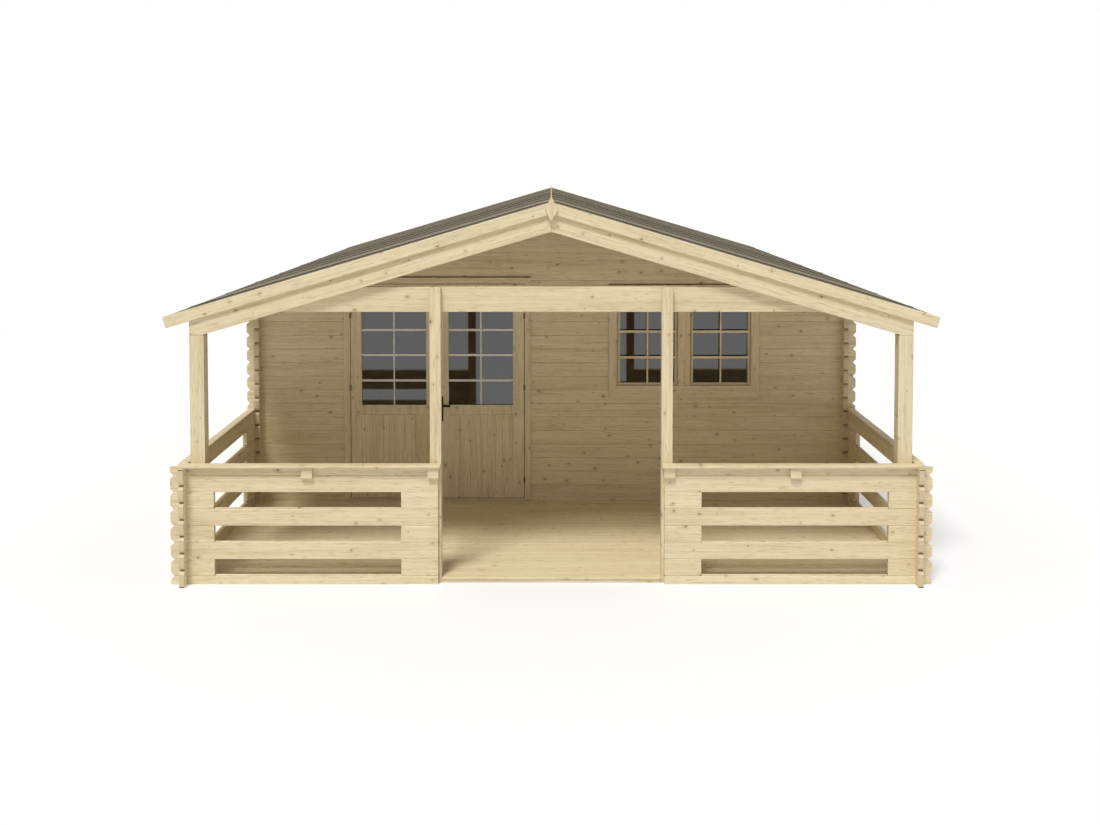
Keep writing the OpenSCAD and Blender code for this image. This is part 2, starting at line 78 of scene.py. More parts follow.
def plus(tree, a, b):
    """The sum of a and b."""
    return calc(tree, "ADD", a, b)


def times(tree, a, b):
    """The product of a and b."""
    return calc(tree, "MULTIPLY", a, b)


def ramp(tree, value, low, high, out_low=0.0, out_high=1.0, kind="SMOOTHSTEP"):
    """A step, smooth or linear: value from low to high becomes out_low to out_high."""
    links = {"Value": value, "From Min": low, "From Max": high, "To Min": out_low, "To Max": out_high}
    return add(tree, "ShaderNodeMapRange", links, interpolation_type=kind).outputs[0]


print("helpers: add, calc, plus, times, ramp")

# %% Colour and pattern helpers
def rgba(red, green, blue):
    """A colour with full alpha."""
    return (red, green, blue, 1.0)


def blend(tree, share, first, second):
    """A mix of two colours: first times one minus the share, plus second times the share."""
    return add(tree, "ShaderNodeMix", {0: share, 6: first, 7: second}, data_type="RGBA").outputs[2]


def stretch(tree, place, factors):
    """A place multiplied by one factor for each axis. A small factor draws a pattern out along its axis."""
    return add(tree, "ShaderNodeVectorMath", {0: place, 1: factors}, operation="MULTIPLY").outputs[0]


def noise(tree, place, scale, detail):
    """Soft noise from 0 to 1 at a place."""
    return add(tree, "ShaderNodeTexNoise", {"Vector": place, "Scale": scale, "Detail": detail}).outputs[0]


def plain_material(name, colour, rough, metallic=0.0):
    """A material with constant values on its shader, which later nodes may take over."""
    material = bpy.data.materials.new(name)
    material.use_nodes = True
    shader = material.node_tree.nodes["Principled BSDF"]
    shader.inputs["Base Color"].default_value = colour
    shader.inputs["Roughness"].default_value = rough
    shader.inputs["Metallic"].default_value = metallic
    return material, material.node_tree, shader


def raise_surface(tree, shader, height, strength, distance):
    """Bends the shader's normal by a height, through a Bump node."""
    bump = add(tree, "ShaderNodeBump", {"Height": height, "Strength": strength, "Distance": distance})
    tree.links.new(bump.outputs[0], shader.inputs["Normal"])


def dress(material, names):
    """Gives solids of the frame a finish through their material slots."""
    for name in names.split():
        nodes[name].material_slots[0].material = material


print("helpers: rgba, blend, stretch, noise, plain_material, raise_surface, dress")

# %% [markdown]
# Spruce
#
# Planed spruce is pale, with soft streaks along the trunk, a few brown knots and small differences from log
# to log. A picture of a board could be laid on, but it would repeat on every log and smear on the sawn
# ends. So all timber shares one node group that works the pattern out. It takes a place whose x runs along
# the grain and whose y runs across the boards, counts the boards with a floor, and shifts the pattern of
# each board by a random number, so that no streak or knot crosses a joint. The streaks are year rings round
# a pith that lies off the board, so the same formula draws lines on a face and arcs on a sawn end.

# %% Each board's own place
SHIFT_ALONG, SHIFT_DEEP = 53.0, 7.0


def board_place(tree, given):
    """The board's number is the floor of the way across over the width. It draws the pattern's shifts."""
    place = add(tree, "ShaderNodeSeparateXYZ", {0: given["Place"]}).outputs
    across = plus(tree, place[1], given["Shift"])
    number = calc(tree, "FLOOR", calc(tree, "DIVIDE", across, given["Board"]))
    chance = add(tree, "ShaderNodeTexWhiteNoise", {"W": number}, noise_dimensions="1D")
    pick = add(tree, "ShaderNodeSeparateColor", {0: chance.outputs["Color"]}).outputs
    along = plus(tree, place[0], times(tree, pick[0], SHIFT_ALONG))
    depth = plus(tree, place[2], times(tree, pick[1], SHIFT_DEEP))
    own = add(tree, "ShaderNodeCombineXYZ", {0: along, 1: place[1], 2: depth}).outputs[0]
    return own, across, place[2], pick


print("boards: shifted by up to", SHIFT_ALONG, "m along the grain")

# %% Knots
KNOT_STRETCH, KNOT_CELLS = (0.75, 1.0, 1.0), 7.0
PIN_SHARE, PIN_KNOT, LARGE_KNOT = 0.30, 0.010, 0.076
KNOT_CORE, KNOT_HALO = 0.5, 3.2


def knot_masks(tree, own):
    """Distance to the nearest scattered point, as a spot of random radius and a halo some radii wide.

    The third coordinate is left out, so a knot runs through the board. Cells below a share hold a pin knot.
    """
    links = {"Vector": stretch(tree, own, KNOT_STRETCH), "Scale": KNOT_CELLS}
    cells = add(tree, "ShaderNodeTexVoronoi", links, voronoi_dimensions="2D").outputs
    cell = add(tree, "ShaderNodeSeparateColor", {0: cells["Color"]}).outputs
    radius = ramp(tree, cell[0], PIN_SHARE, 1.0, PIN_KNOT, LARGE_KNOT, "LINEAR")
    ripe = plus(tree, times(tree, cell[1], 0.5), 0.5)
    spot = ramp(tree, cells["Distance"], times(tree, radius, KNOT_CORE), radius, 1.0, 0.0)
    halo = ramp(tree, cells["Distance"], radius, times(tree, radius, KNOT_HALO), 1.0, 0.0)
    return times(tree, spot, ripe), halo


print("knots:", KNOT_CELLS, "cells to the metre across the grain")

# %% Year rings
RING_STRETCH, RING_SCALE = (0.55, 5.0, 5.0), 1.5
RINGS, RING_BEND, KNOT_BEND = 62.0, 5.0, 0.7
PITH_ASIDE, PITH_BEHIND = 0.12, 0.03
FULL_TURN = 6.283


def year_rings(tree, own, across, deep, pick, board, halo):
    """A sine of the distance from the pith, bent by slow noise and by the knots, brought to 0 to 1."""
    slow = noise(tree, stretch(tree, own, RING_STRETCH), RING_SCALE, 3.0)
    local = calc(tree, "SUBTRACT", calc(tree, "MODULO", across, board), times(tree, pick[2], PITH_ASIDE))
    pith = add(tree, "ShaderNodeCombineXYZ", {0: 0.0, 1: local, 2: plus(tree, deep, PITH_BEHIND)}).outputs[0]
    away = add(tree, "ShaderNodeVectorMath", {0: pith}, operation="LENGTH").outputs["Value"]
    bent = plus(tree, times(tree, away, RINGS), times(tree, slow, RING_BEND))
    phase = times(tree, plus(tree, bent, times(tree, halo, KNOT_BEND)), FULL_TURN)
    wave = times(tree, plus(tree, calc(tree, "SINE", phase), 1.0), 0.5)
    return wave, slow


print("rings:", RINGS, "to the metre")

# %% Spruce node group
FINE, BROAD, DASHES = (1.7, 95.0, 95.0), (0.9, 24.0, 24.0), (11.0, 125.0, 125.0)
FIBRE_SHARE, STRIPE_SHARE, DASH_SHARE = 0.34, 0.36, 0.6
RING_SHARE, HALO_SHARE, KNOT_SINK = 0.25, 0.45, 0.4


def make_spruce_group():
    """Grain is the sum of fibres, stripes, dashes, rings and halos, each times its share, held at 1."""
    tree = bpy.data.node_groups.new("spruce_grain", "ShaderNodeTree")
    tree.interface.new_socket("Place", in_out="INPUT", socket_type="NodeSocketVector")
    for name in ("Board", "Shift"):
        tree.interface.new_socket(name, in_out="INPUT", socket_type="NodeSocketFloat")
    for name in ("Grain", "Knot", "Tint", "Height"):
        tree.interface.new_socket(name, in_out="OUTPUT", socket_type="NodeSocketFloat")
    given = add(tree, "NodeGroupInput").outputs
    own, across, deep, pick = board_place(tree, given)
    knot, halo = knot_masks(tree, own)
    wave, slow = year_rings(tree, own, across, deep, pick, given["Board"], halo)
    fibre = ramp(tree, noise(tree, stretch(tree, own, FINE), 1.0, 3.0), 0.36, 0.66)
    stripe = ramp(tree, noise(tree, stretch(tree, own, BROAD), 1.0, 3.0), 0.45, 0.72)
    dash = ramp(tree, noise(tree, stretch(tree, own, DASHES), 1.0, 1.0), 0.54, 0.72)
    streak = times(tree, calc(tree, "POWER", wave, 2.0), ramp(tree, slow, 0.3, 0.7))
    lines = plus(tree, times(tree, fibre, FIBRE_SHARE), times(tree, stripe, STRIPE_SHARE))
    grain = plus(tree, times(tree, streak, RING_SHARE), lines)
    grain = plus(tree, grain, times(tree, dash, DASH_SHARE))
    shade = calc(tree, "ADD", grain, times(tree, halo, HALO_SHARE), True)
    height = calc(tree, "SUBTRACT", fibre, times(tree, knot, KNOT_SINK))
    result = add(tree, "NodeGroupOutput").inputs
    for name, socket in (("Grain", shade), ("Knot", knot), ("Tint", pick[1]), ("Height", height)):
        tree.links.new(socket, result[name])
    return tree


spruce_grain = make_spruce_group()
print("spruce:", len(spruce_grain.nodes), "nodes in the group")

# %% [markdown]
# Timber for every direction
#
# A side log runs along Y, a front log along X, and a post along Z. Each could have a pattern of its own,
# but one recipe is enough: a material turns its object coordinates so that the grain is first, the
# direction across the boards second and the thickness third, and asks the spruce group. Faces across the
# grain are sawn ends, which are browner. Between two log ends lies the root of a groove, where hardly any
# light gets in, so the ends get a band of painted shade there.

# %% Timber recipe
ORDER = {"X": (0, 2, 1), "Y": (1, 2, 0), "Z": (2, 0, 1), "XY": (0, 1, 2)}
PALE = rgba(0.765, 0.660, 0.432)
STREAK = rgba(0.545, 0.428, 0.243)
WARM = rgba(0.60, 0.465, 0.285)
END_GRAIN = rgba(0.57, 0.445, 0.290)
KNOT = rgba(0.18, 0.098, 0.045)
GROOVE_SHADE = rgba(0.11, 0.060, 0.030)
ROUGH, WARM_SHARE, SAWN_SHARE = 0.62, 0.25, 0.8


def turned(tree, vector, angle):
    """A vector turned about Y, so that the grain follows the slope of a roof."""
    links = {"Vector": vector, "Angle": angle}
    return add(tree, "ShaderNodeVectorRotate", links, rotation_type="Y_AXIS").outputs[0]


def timber(name, grain, board, shift, tone=1.0, turn=0.0, joints=0.0, knots=0.9):
    """Pale to streak by the grain, to warm by the board's tint, to sawn where a face looks along the grain.

    Knots go over that. With joints, a point on an end that lies nearer to a joint than that is painted dark,
    as painted shade at the root of the groove.
    """
    material, tree, shader = plain_material(name, PALE, ROUGH)
    first, second, third = ORDER[grain]
    sources = add(tree, "ShaderNodeTexCoord").outputs
    split = add(tree, "ShaderNodeSeparateXYZ", {0: turned(tree, sources["Object"], turn)}).outputs
    facing = add(tree, "ShaderNodeSeparateXYZ", {0: turned(tree, sources["Normal"], turn)}).outputs[first]
    place = add(tree, "ShaderNodeCombineXYZ", {0: split[first], 1: split[second], 2: split[third]}).outputs[0]
    links = {"Place": place, "Board": board, "Shift": shift}
    wood = add(tree, "ShaderNodeGroup", links, node_tree=spruce_grain).outputs
    pale, streak, warm, sawn = ([tone * v for v in c[:3]] + [1.0] for c in (PALE, STREAK, WARM, END_GRAIN))
    colour = blend(tree, wood["Grain"], pale, streak)
    colour = blend(tree, ramp(tree, wood["Tint"], 0.0, 1.0, 0.0, WARM_SHARE), colour, warm)
    end = ramp(tree, calc(tree, "ABSOLUTE", facing), 0.5, 0.85)
    colour = blend(tree, times(tree, end, SAWN_SHARE), colour, sawn)
    colour = blend(tree, times(tree, wood["Knot"], knots), colour, KNOT)
    # Painted shade: the ends near each joint turn dark, for the root of the groove where little light gets
    # in.
    if joints:
        apart = calc(tree, "PINGPONG", plus(tree, split[second], shift), board / 2)
        groove_shade = times(tree, ramp(tree, apart, joints, joints * 1.5, 1.0, 0.0), end)
        colour = blend(tree, groove_shade, colour, GROOVE_SHADE)
    tree.links.new(colour, shader.inputs["Base Color"])
    rough = ramp(tree, wood["Grain"], 0.0, 1.0, ROUGH - 0.08, ROUGH + 0.1)
    tree.links.new(rough, shader.inputs["Roughness"])
    raise_surface(tree, shader, wood["Height"], 0.25, 0.002)
    return material


print("timber: grain along", ", ".join(ORDER))

# %% Timber materials
LOG, GROOVE_SHADE_HALF = 0.121, 0.006
ROOF_PITCH = np.radians(16.46)
# One board wider than the piece, set aside so that no joint falls into it
WHOLE = {"board": 0.5, "shift": 0.1}
side_logs = timber("side_logs", "Y", LOG, 0.0, joints=GROOVE_SHADE_HALF)
front_logs = timber("front_logs", "X", LOG, LOG / 2, joints=GROOVE_SHADE_HALF)
upright_timber = timber("upright_timber", "Z", 0.4, 0.2)
level_timber = timber("level_timber", "X", **WHOLE)
deep_timber = timber("deep_timber", "Y", **WHOLE)
rising_timber = timber("rising_timber", "X", **WHOLE, turn=ROOF_PITCH)
falling_timber = timber("falling_timber", "X", **WHOLE, turn=-ROOF_PITCH)
deck_boards = timber("deck_boards", "XY", 0.115, 0.0, 1.09, knots=0.3)
upright_boards = timber("upright_boards", "Z", 0.0947, 0.0, 0.98)
bar_timber = timber("bar_timber", "X", **WHOLE, tone=1.12, knots=0.3)
# Painted shade: the underside of the roof is darker than the other timber, which also dims the light it
# throws back into the veranda.
shaded_roof_underside = timber("shaded_roof_underside", "XY", 0.1, 0.0, 0.65)

dress(side_logs, "left_side_wall right_side_wall side_rail_left side_rail_right")
dress(front_logs, "back_wall front_sill_log front_wall_left front_wall_right front_gable")
dress(front_logs, "front_rail_left front_rail_right")
dress(upright_timber, "left_door_leaf right_door_leaf door_frame window_frame window_sashes")
dress(deep_timber, "eave_beams purlins floor_battens")
dress(deck_boards, "cabin_floor")
dress(shaded_roof_underside, "roof_boards_left roof_boards_right")
print("timber:", len(bpy.data.materials), "materials")

# %% [markdown]
# Glass, iron and felt
#
# The panes look nearly black with a clear reflection, because the room behind them is dark. Clear glass in
# front of a furnished room would be truer, but the room doesn't show, so dark glass does the same. The
# hinges are brown-black and the handle is satin black. Both get a slightly uneven roughness, because an
# even one looks like plastic. Roofing felt is covered with mineral grit, which a fine noise gives.

# %% Glass and iron
def make_pane():
    """Dark glass whose reflection is bent a little by slow noise."""
    material, tree, shader = plain_material("dark_pane", rgba(0.004, 0.004, 0.004), 0.03)
    shader.inputs["IOR"].default_value = 2.0
    place = add(tree, "ShaderNodeTexCoord").outputs["Object"]
    raise_surface(tree, shader, noise(tree, place, 3.0, 1.0), 0.02, 0.005)
    return material


def make_coat(name, colour, rough, metallic=0.0):
    """A coat of paint or of oxide, whose roughness goes up and down with a fine noise."""
    material, tree, shader = plain_material(name, colour, rough, metallic)
    place = add(tree, "ShaderNodeTexCoord").outputs["Object"]
    uneven = ramp(tree, noise(tree, place, 90.0, 3.0), 0.2, 0.8, rough - 0.1, rough + 0.12)
    tree.links.new(uneven, shader.inputs["Roughness"])
    return material


pane = make_pane()
white_bars = make_coat("white_bars", rgba(0.80, 0.77, 0.72), 0.45)
hinge_iron = make_coat("hinge_iron", rgba(0.24, 0.150, 0.066), 0.5, 0.3)
handle_iron = make_coat("handle_iron", rgba(0.006, 0.005, 0.004), 0.5)
handle_iron.node_tree.nodes["Principled BSDF"].inputs["Specular IOR Level"].default_value = 0.12
dress(pane, "left_door_glass right_door_glass window_glass")
dress(hinge_iron, "frame_hinges left_leaf_hinges right_leaf_hinges")
dress(handle_iron, "handle_plates door_lever")
print("finishes:", ", ".join(m.name for m in (pane, white_bars, hinge_iron, handle_iron)))

# %% Felt
GRIT_DARK, GRIT_PALE = rgba(0.095, 0.082, 0.056), rgba(0.225, 0.194, 0.138)
WORN = rgba(0.22, 0.19, 0.145)


def make_felt():
    """Grit in two greys and worn blotches, times the tone that each strip carries as an attribute.

    The attribute also holds painted light: a painted highlight on one strip and painted shade on the risers.
    """
    material, tree, shader = plain_material("mineral_felt", rgba(0.19, 0.16, 0.12), 0.9)
    shader.inputs["Specular IOR Level"].default_value = 0.05
    place = add(tree, "ShaderNodeTexCoord").outputs["Object"]
    grit = noise(tree, place, 170.0, 2.0)
    blotch = noise(tree, place, 1.6, 4.0)
    speck = blend(tree, ramp(tree, grit, 0.35, 0.65), GRIT_DARK, GRIT_PALE)
    worn = blend(tree, ramp(tree, blotch, 0.35, 0.75, 0.0, 0.25), speck, WORN)
    own = add(tree, "ShaderNodeAttribute", attribute_name="strip_tone_and_painted_light").outputs["Fac"]
    shade = add(tree, "ShaderNodeVectorMath", {0: worn, "Scale": own}, operation="SCALE").outputs[0]
    tree.links.new(shade, shader.inputs["Base Color"])
    raise_surface(tree, shader, grit, 0.12, 0.001)
    return material


felt = make_felt()
print("finishes:", felt.name)

# %% [markdown]
# Boards from arrays
#
# A planed board has eased edges, or a carpenter's hand would find splinters. Each board could be a cube
# with a Bevel, but a deck has many of them. Here an eased box has three points at each corner, each pulled
# in along the two other axes. One template of faces serves any number of boards, so a whole deck is worked
# out as one array.

# %% Eased template
def outwards(loops, points):
    """Turns round each loop whose normal, the cross product of two edges, points to the middle of the box."""
    p = points[loops]
    normal = np.cross(p[:, 1] - p[:, 0], p[:, 2] - p[:, 0])
    inward = (normal * p.mean(axis=1)).sum(axis=1) < 0
    return np.where(inward[:, None], loops[:, ::-1], loops)


def eased_template():
    """Signs and kept axes of 24 points, 18 faces of four points (sides and edges) and 8 of three (corners).

    Point a of corner i has the number 3 i + a. A step along x, y or z adds 12, 6 or 3 to it.
    """
    signs = np.stack(np.meshgrid([-1, 1], [-1, 1], [-1, 1], indexing="ij"), axis=-1).reshape(8, 3)
    corner, keep = np.repeat(signs, 3, axis=0), np.tile(np.arange(3), 8)
    step = np.array([12, 6, 3])
    a = np.arange(3)[:, None]
    b, c = (a + 1) % 3, (a + 2) % 3
    ring = np.array([0, 1, 1, 0]) * step[b] + np.array([0, 0, 1, 1]) * step[c]
    sides = np.concatenate([ring + a, ring + a + step[a]])
    edges = np.stack([ring + b, ring + b + step[a], ring + c + step[a], ring + c], axis=-1).reshape(12, 4)
    points = corner * np.where(np.arange(3) == keep[:, None], 1.0, 0.8)
    quads = outwards(np.concatenate([sides, edges]), points)
    return corner, keep, quads, outwards(np.arange(24).reshape(8, 3), points)


CORNER, KEEP, QUADS, TRIANGLES = eased_template()
print("template:", len(CORNER), "points,", len(QUADS) + len(TRIANGLES), "faces")

# %% Pieces and eased boards
HOUSE, LEFT, RIGHT = "house", "left_door", "right_door"


def new_object(name, points, faces, material):
    """A mesh object at the origin with its place in its points."""
    mesh = bpy.data.meshes.new(name)
    mesh.from_pydata(points.reshape(-1, 3).tolist(), [], faces)
    mesh.materials.append(material)
    mesh.update()
    made = bpy.data.objects.new(name, mesh)
    bpy.context.scene.collection.objects.link(made)
    return made


def finish_piece(piece, body, slot, *replaced):
    """Every piece rides on a body and may stand for solids. The slot is not used."""
    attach(piece, body)
    if replaced:
        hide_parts(*replaced)
    return piece


def eased_boards(name, low, high, ease, material):
    """Boxes as one mesh: the middle plus a sign times the half size, less the ease on the two other axes."""
    low, high = np.atleast_2d(low).astype(float), np.atleast_2d(high).astype(float)
    middle, half = (low + high)[:, None] / 2, (high - low)[:, None] / 2
    inset = np.where(np.arange(3) == KEEP[:, None], 0.0, ease)[None]
    points = middle + CORNER[None] * (half - inset)
    first = len(CORNER) * np.arange(len(low))[:, None, None]
    faces = (QUADS + first).reshape(-1, 4).tolist() + (TRIANGLES + first).reshape(-1, 3).tolist()
    return new_object(name, points, faces, material)


print("bodies:", HOUSE, LEFT, RIGHT)

# %% [markdown]
# Eased timber
#
# The posts, beams, caps and barge boards are true solids with sharp edges. They could stay so, but a sharp
# edge catches no light. A copy of each mesh is merged, its flat faces are joined, and a Bevel rounds what
# is left, which draws a thin line of light along every edge. The barge boards' ends are sawn square to the
# slope, while the solids end plumb, so the points of those ends are moved.

# %% Eased copies
EASE, MERGE, FLAT = 0.004, 0.00002, 0.002


def ease_edges(piece, width):
    """A Bevel of two segments on edges that are not flat."""
    bevel = piece.modifiers.new("eased_edges", "BEVEL")
    bevel.width = width
    bevel.segments = 2
    bevel.limit_method = "ANGLE"


def eased_copy(name, materials, second=None):
    """A merged copy of a solid, bevelled. Faces whose centres pass the test take the second material."""
    mesh = nodes[name].data.copy()
    work = bmesh.new()
    work.from_mesh(mesh)
    bmesh.ops.remove_doubles(work, verts=work.verts, dist=MERGE)
    bmesh.ops.dissolve_limit(work, angle_limit=FLAT, verts=work.verts, edges=work.edges)
    work.to_mesh(mesh)
    work.free()
    mesh.materials.clear()
    for material in materials:
        mesh.materials.append(material)
    index = np.zeros(len(mesh.polygons), dtype=np.int32)
    if second:
        centre = np.empty(3 * len(mesh.polygons))
        mesh.polygons.foreach_get("center", centre)
        index[second(centre.reshape(-1, 3))] = 1
    mesh.polygons.foreach_set("material_index", index)
    made = bpy.data.objects.new("eased_" + name, mesh)
    bpy.context.scene.collection.objects.link(made)
    ease_edges(made, EASE)
    return finish_piece(made, HOUSE, "planed_timber", name)


for name in ("corner_posts", "middle_posts", "ridge_finial"):
    eased_copy(name, [upright_timber])
for name in ("tie_beam", "rail_brackets"):
    eased_copy(name, [level_timber])
eased_copy("front_rafter_left", [rising_timber])
eased_copy("front_rafter_right", [falling_timber])
print("eased: posts, finial, beam, brackets and rafters by", EASE)

# %% Caps and barge boards
FRONT_CAP_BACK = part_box("corner_posts")[0][1] - 0.0003
END_REACH = 0.001


def on_side_caps(centre):
    """True for faces behind the front caps."""
    return centre[:, 1] > FRONT_CAP_BACK


def on_right(centre):
    """True for faces right of the ridge."""
    return centre[:, 0] > 0


def square_ends(boards):
    """Turns plumb ends square to the slope: a point moves in by its depth from the top times sin and cos."""
    mesh = boards.data
    flat = np.empty(3 * len(mesh.vertices))
    mesh.vertices.foreach_get("co", flat)
    points = flat.reshape(-1, 3)
    reach = np.abs(points[:, 0])
    end = reach > reach.max() - END_REACH
    depth = points[end, 2].max() - points[end, 2]
    inward = depth * np.sin(ROOF_PITCH) * np.cos(ROOF_PITCH)
    points[end, 0] -= np.sign(points[end, 0]) * inward
    points[end, 2] += inward * np.tan(ROOF_PITCH)
    mesh.vertices.foreach_set("co", flat)
    mesh.update()


eased_copy("rail_caps", [level_timber, deep_timber], on_side_caps)
for name in ("front_barge_boards", "back_barge_boards"):
    square_ends(eased_copy(name, [rising_timber, falling_timber], on_right))
print("eased: caps and barge boards by", EASE)

# %% [markdown]
# Deck boards
#
# The veranda floor is laid with boards that run across the house, tight together, so that only their eased
# edges draw the joints. Lines on one slab would do from afar, but not at the open front edge. The plan is
# an array of rectangles: full rows behind the corner posts, and shorter pieces round the posts in the first
# row.

# %% Plan of the deck
BOARD, SEAM = 0.115, 0.0002
CORNER_POST, MIDDLE_POST, LOG_THICK = 0.105, 0.08, 0.044
deck_low, deck_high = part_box("veranda_floor")
corner_low, corner_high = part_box("corner_posts")
post_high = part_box("middle_posts")[1]
front, first_back, log_front = corner_low[1], corner_high[1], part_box("right_side_wall")[0][1]
outer, corner_in = corner_high[0], corner_high[0] - CORNER_POST
post_out, post_in = post_high[0], post_high[0] - MIDDLE_POST
wide = deck_high[0]
count = int(round((log_front - first_back) / BOARD))
rows = np.linspace(first_back, log_front, count + 1)
full = np.column_stack([np.full(count, -wide), rows[:-1], np.full(count, wide), rows[1:]])
plan = np.vstack([full, [
    [-wide + LOG_THICK, log_front, wide - LOG_THICK, deck_high[1]],
    [-wide, front, -outer, first_back],
    [outer, front, wide, first_back],
    [-corner_in, front, -post_out, first_back],
    [post_out, front, corner_in, first_back],
    [-post_in, front, post_in, first_back],
    [-post_out, post_high[1], -post_in, first_back],
    [post_in, post_high[1], post_out, first_back],
]])
plan += np.array([SEAM, SEAM, -SEAM, -SEAM])
print("deck:", len(plan), "boards in", count + 2, "rows")

# %% Veranda deck
NOSING, FASCIA, FASCIA_FOOT = 0.010, 0.016, 0.001
lows = np.column_stack([plan[:, :2], np.full(len(plan), deck_low[2])])
highs = np.column_stack([plan[:, 2:], np.full(len(plan), deck_high[2])])
lows = np.vstack([lows, [-post_in, deck_low[1], deck_high[2] - NOSING]])
highs = np.vstack([highs, [post_in, front + NOSING, deck_high[2] - 2 * SEAM]])
deck = eased_boards("veranda_deck", lows, highs, 0.0012, deck_boards)
finish_piece(deck, HOUSE, "floor_boards", "veranda_floor")
fascia_low, fascia_high = [-post_in, front, FASCIA_FOOT], [post_in, front + FASCIA, deck_low[2]]
fascia = eased_boards("entrance_fascia", fascia_low, fascia_high, 0.002, level_timber)
finish_piece(fascia, HOUSE, "floor_boards")
print("deck: a nosing of", NOSING, "and a fascia of", FASCIA, "at the entrance")

# %% [markdown]
# Tongues in the slots
#
# Each log carries a tongue along its top, which fits the groove of the log above. Where a log is left out
# of a rail, the tongue of the log below lies open as a low strip. It could be cut into the rails, but it is
# a thin detail that takes no load, so it is laid on the solids as eased strips.

# %% Open tongues
TONGUE, TONGUE_SIDE, TONGUE_SUNK = 0.007, 0.009, 0.001
SLOT_INSET, SLOT_MARGIN = 0.263, 0.196
SIDE_SLOT_START, SIDE_SLOT_MARGIN = 0.300, 0.349
SLOTS = np.array([0.5, 2.5, 4.5]) * LOG
RAIL_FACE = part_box("front_rail_left")[0][1]
lows, highs = [], []
for side, side_rail in ((-1, "side_rail_left"), (1, "side_rail_right")):
    rail_low, rail_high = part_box("front_rail_right")
    x = np.sort(side * np.array([rail_low[0] + SLOT_INSET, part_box("veranda_floor")[1][0] - SLOT_MARGIN]))
    lows += [[x[0], rail_low[1] + TONGUE_SIDE, z - TONGUE_SUNK] for z in SLOTS]
    highs += [[x[1], rail_high[1] - TONGUE_SIDE, z + TONGUE] for z in SLOTS]
    rail_low, rail_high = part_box(side_rail)
    y = RAIL_FACE + SIDE_SLOT_START, rail_high[1] - SIDE_SLOT_MARGIN
    lows += [[rail_low[0] + TONGUE_SIDE, y[0], z - TONGUE_SUNK] for z in SLOTS + LOG / 2]
    highs += [[rail_high[0] - TONGUE_SIDE, y[1], z + TONGUE] for z in SLOTS + LOG / 2]
finish_piece(eased_boards("rail_tongues", lows, highs, 0.0025, level_timber), HOUSE, "logs")
print("rails:", len(lows), "open tongues")

# %% [markdown]
# Roofing strips
#
# Felt comes in rolls about a metre wide. Each strip goes from eave to eave over the ridge and laps the next
# one, so the roof steps a little at each lap. The first strip is narrower. The laps could be painted on,
# but from the front the roof is seen almost edge-on, and only a real step shows there. One section, thicker
# at its front edge, is carried along a path that climbs one slope, rounds the ridge and turns down over
# both eaves.

# %% Path and section of the felt
FELT, RISER, LAP = 0.002, 0.006, 0.05
FIRST, STRIP = 0.633, 1.04
RIDGE_ROUND, TURN_DOWN, TUCK, STEPS = 0.03, 0.022, 0.9985, 61
felt_low = np.minimum(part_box("roof_felt_left")[0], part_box("roof_felt_right")[0])
felt_high = np.maximum(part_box("roof_felt_left")[1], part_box("roof_felt_right")[1])
deck_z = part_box("roof_boards_left")[1][2]
slope = (deck_z - felt_low[2]) / felt_high[0]
across = np.concatenate([[-1.0, -1.0], np.linspace(-1, 1, STEPS), [1.0, 1.0]]) * felt_high[0]
across[[0, -1]] *= TUCK
# Height is the ridge less the slope times a hyperbola, which is round at the ridge and straight further out
across_z = deck_z - slope * (np.sqrt(across ** 2 + RIDGE_ROUND ** 2) - RIDGE_ROUND)
across_z[[0, -1]] -= TURN_DOWN
starts = np.append(felt_low[1], np.arange(felt_low[1] + FIRST, felt_high[1], STRIP))
strips = len(starts)
ends = np.append(starts[1:] + LAP, felt_high[1])
section_y = np.stack([starts, starts, starts + LAP, ends, ends], axis=1)
section_z = np.array([0.0, RISER, FELT, FELT, 0.0])
sides = len(section_z)
strip_points = np.empty((strips, len(across), sides, 3))
strip_points[..., 0] = across[None, :, None]
strip_points[..., 1] = section_y[:, None, :]
strip_points[..., 2] = across_z[None, :, None] + section_z[None, None, :]
print("felt:", strips, "strips, the first", FIRST, "wide and the others", STRIP)

# %% Felt strips
# Tone of each strip: partly a random difference between rolls, partly painted light, as the pale second strip
# is a painted highlight.
STRIP_TONES_AND_HIGHLIGHT = np.resize([0.7, 1.4, 0.95, 0.92, 0.88, 1.18, 1.12, 1.1, 1.1], strips)
# Painted shade on the riser at the front of each strip: partly the darker cut edge of the felt, partly the
# shade under the lap.
RISER_SHADE = np.resize([0.6, 0.1, 0.2, 0.2, 0.05, 0.4, 0.5, 0.5, 0.5], strips)


def tube_faces(rings, sides, first):
    """Faces of a closed section carried along a path: two points of a ring and the same two of the next.

    A cap closes each end.
    """
    r, s = np.meshgrid(np.arange(rings - 1), np.arange(sides), indexing="ij")
    t = (s + 1) % sides
    quads = np.stack([r * sides + s, (r + 1) * sides + s, (r + 1) * sides + t, r * sides + t], axis=-1)
    near = np.arange(first, first + sides)
    far = near[::-1] + (rings - 1) * sides
    return (quads.reshape(-1, 4) + first).tolist() + [near.tolist(), far.tolist()]


def turn_outwards(piece):
    """Makes the faces of a closed mesh point outwards."""
    work = bmesh.new()
    work.from_mesh(piece.data)
    bmesh.ops.recalc_face_normals(work, faces=work.faces)
    work.to_mesh(piece.data)
    work.free()


rings = len(across)
faces = [face for i in range(strips) for face in tube_faces(rings, sides, i * rings * sides)]
felt_strips = new_object("felt_strips", strip_points, faces, felt)
turn_outwards(felt_strips)
per_strip = len(faces) // strips
tone = np.repeat(STRIP_TONES_AND_HIGHLIGHT, per_strip)
